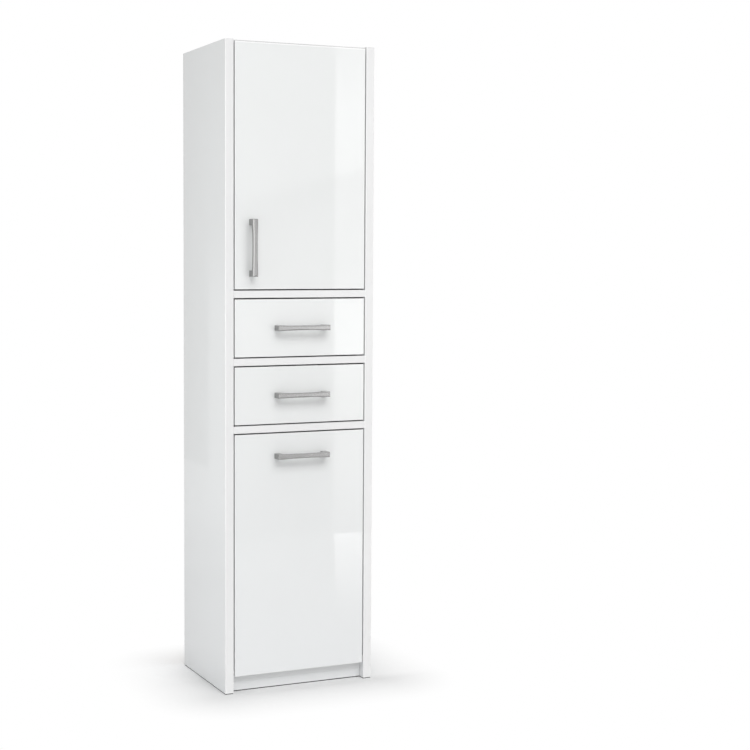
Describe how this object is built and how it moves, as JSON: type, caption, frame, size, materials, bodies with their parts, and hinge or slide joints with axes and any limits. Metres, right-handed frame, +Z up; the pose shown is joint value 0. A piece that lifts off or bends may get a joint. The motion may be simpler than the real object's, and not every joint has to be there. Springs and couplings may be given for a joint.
{
  "type": "bathroom storage tower",
  "caption": "Tall narrow white cabinet with a hinged door over an adjustable shelf, sliding drawers and a tilt-out laundry front carrying a wire basket.",
  "frame": {"origin": "on the floor, in the middle of the overall width and of the overall depth with the handles", "axes": "+X to the right seen from the front, +Y from the front to the back, +Z up"},
  "size_m": [0.4, 0.328, 1.6],
  "materials": {
    "gloss_white": "high-gloss white lacquer on board",
    "white_board": "white faced board, silk",
    "white_panel": "thin white faced fibreboard",
    "satin_nickel": "satin nickel",
    "dark_nickel": "bright nickel plate, seen dark",
    "zinc_steel": "zinc plate",
    "white_metal": "white epoxy coat",
    "white_wire": "white epoxy-coated wire",
    "white_plastic": "moulded plastic",
    "beech": "plain beech"
  },
  "bodies": {
    "carcass": {"side_left": "gloss_white", "side_right": "gloss_white", "top_panel": "white_board", "divider_upper": "white_board", "divider_middle": "white_board", "divider_lower": "white_board", "bottom_panel": "white_board", "plinth": "gloss_white", "back_panel": "white_panel", "shelf": "white_board", "shelf_pins": "zinc_steel", "glides": "white_plastic", "cam_discs": "zinc_steel", "cam_bolts": "zinc_steel", "dowels": "beech", "wall_bracket": "zinc_steel", "carcass_screws": "zinc_steel", "hinge_plates": "dark_nickel", "hinge_arms": "dark_nickel", "cabinet_runners_upper": "white_metal", "cabinet_runners_lower": "white_metal", "stay_stud": "zinc_steel", "pivot_bushes": "white_plastic"},
    "door": {"door": "gloss_white", "door_handle": "satin_nickel", "hinge_cups": "dark_nickel", "door_screws": "zinc_steel"},
    "hinge_link_upper": {"hinge_link_upper": "dark_nickel"},
    "hinge_link_lower": {"hinge_link_lower": "dark_nickel"},
    "drawer_upper": {"drawer_upper_front": "gloss_white", "drawer_upper_side_left": "white_board", "drawer_upper_side_right": "white_board", "drawer_upper_back": "white_board", "drawer_upper_bottom": "white_panel", "drawer_upper_handle": "satin_nickel", "drawer_upper_runners": "white_metal", "drawer_upper_screws": "zinc_steel"},
    "drawer_lower": {"drawer_lower_front": "gloss_white", "drawer_lower_side_left": "white_board", "drawer_lower_side_right": "white_board", "drawer_lower_back": "white_board", "drawer_lower_bottom": "white_panel", "drawer_lower_handle": "satin_nickel", "drawer_lower_runners": "white_metal", "drawer_lower_screws": "zinc_steel"},
    "front_rollers_upper": {"front_rollers_upper": "white_plastic"},
    "front_rollers_lower": {"front_rollers_lower": "white_plastic"},
    "rear_rollers_upper": {"rear_rollers_upper": "white_plastic"},
    "rear_rollers_lower": {"rear_rollers_lower": "white_plastic"},
    "flap": {"flap": "gloss_white", "flap_handle": "satin_nickel", "flap_pivots": "zinc_steel", "flap_stay": "dark_nickel", "flap_screws": "zinc_steel", "basket_clips": "white_plastic", "basket_rim": "white_wire", "basket_side_left": "white_wire", "basket_side_right": "white_wire", "basket_back": "white_wire", "basket_front": "white_wire"}
  },
  "joints": [
    {"name": "door_hinge", "type": "hinge", "parent": "carcass", "child": "door", "pos_m": [0.178, -0.136, 1.298], "axis": [0, 0, 1], "range_deg": [0, 100]},
    {"name": "link_upper_turn", "type": "hinge", "parent": "door", "child": "hinge_link_upper", "pos_m": [0.164, -0.1245, 1.506], "axis": [0, 0, 1], "range_deg": [-80.1, 0]},
    {"name": "link_lower_turn", "type": "hinge", "parent": "door", "child": "hinge_link_lower", "pos_m": [0.164, -0.1245, 1.09], "axis": [0, 0, 1], "range_deg": [-80.1, 0]},
    {"name": "flap_tilt", "type": "hinge", "parent": "carcass", "child": "flap", "pos_m": [0, -0.127, 0.052], "axis": [1, 0, 0], "range_deg": [0, 31]},
    {"name": "drawer_upper_slide", "type": "slide", "parent": "carcass", "child": "drawer_upper", "axis": [0, -1, 0], "range_m": [0, 0.18]},
    {"name": "front_rollers_upper_spin", "type": "hinge", "parent": "carcass", "child": "front_rollers_upper", "pos_m": [0, -0.104, 0.8505], "axis": [1, 0, 0], "range_deg": [0, 1032]},
    {"name": "rear_rollers_upper_spin", "type": "hinge", "parent": "drawer_upper", "child": "rear_rollers_upper", "pos_m": [0, 0.12, 0.8505], "axis": [1, 0, 0], "range_deg": [0, 1032]},
    {"name": "drawer_lower_slide", "type": "slide", "parent": "carcass", "child": "drawer_lower", "axis": [0, -1, 0], "range_m": [0, 0.18]},
    {"name": "front_rollers_lower_spin", "type": "hinge", "parent": "carcass", "child": "front_rollers_lower", "pos_m": [0, -0.104, 0.6845], "axis": [1, 0, 0], "range_deg": [0, 1032]},
    {"name": "rear_rollers_lower_spin", "type": "hinge", "parent": "drawer_lower", "child": "rear_rollers_lower", "pos_m": [0, 0.12, 0.6845], "axis": [1, 0, 0], "range_deg": [0, 1032]}
  ],
  "couplings": [
    {"joint": "link_upper_turn", "follows": "door_hinge", "ratio": -0.8},
    {"joint": "link_lower_turn", "follows": "door_hinge", "ratio": -0.8},
    {"joint": "front_rollers_upper_spin", "follows": "drawer_upper_slide", "rad_per_m": 100},
    {"joint": "rear_rollers_upper_spin", "follows": "drawer_upper_slide", "rad_per_m": 100},
    {"joint": "front_rollers_lower_spin", "follows": "drawer_lower_slide", "rad_per_m": 100},
    {"joint": "rear_rollers_lower_spin", "follows": "drawer_lower_slide", "rad_per_m": 100}
  ]
}
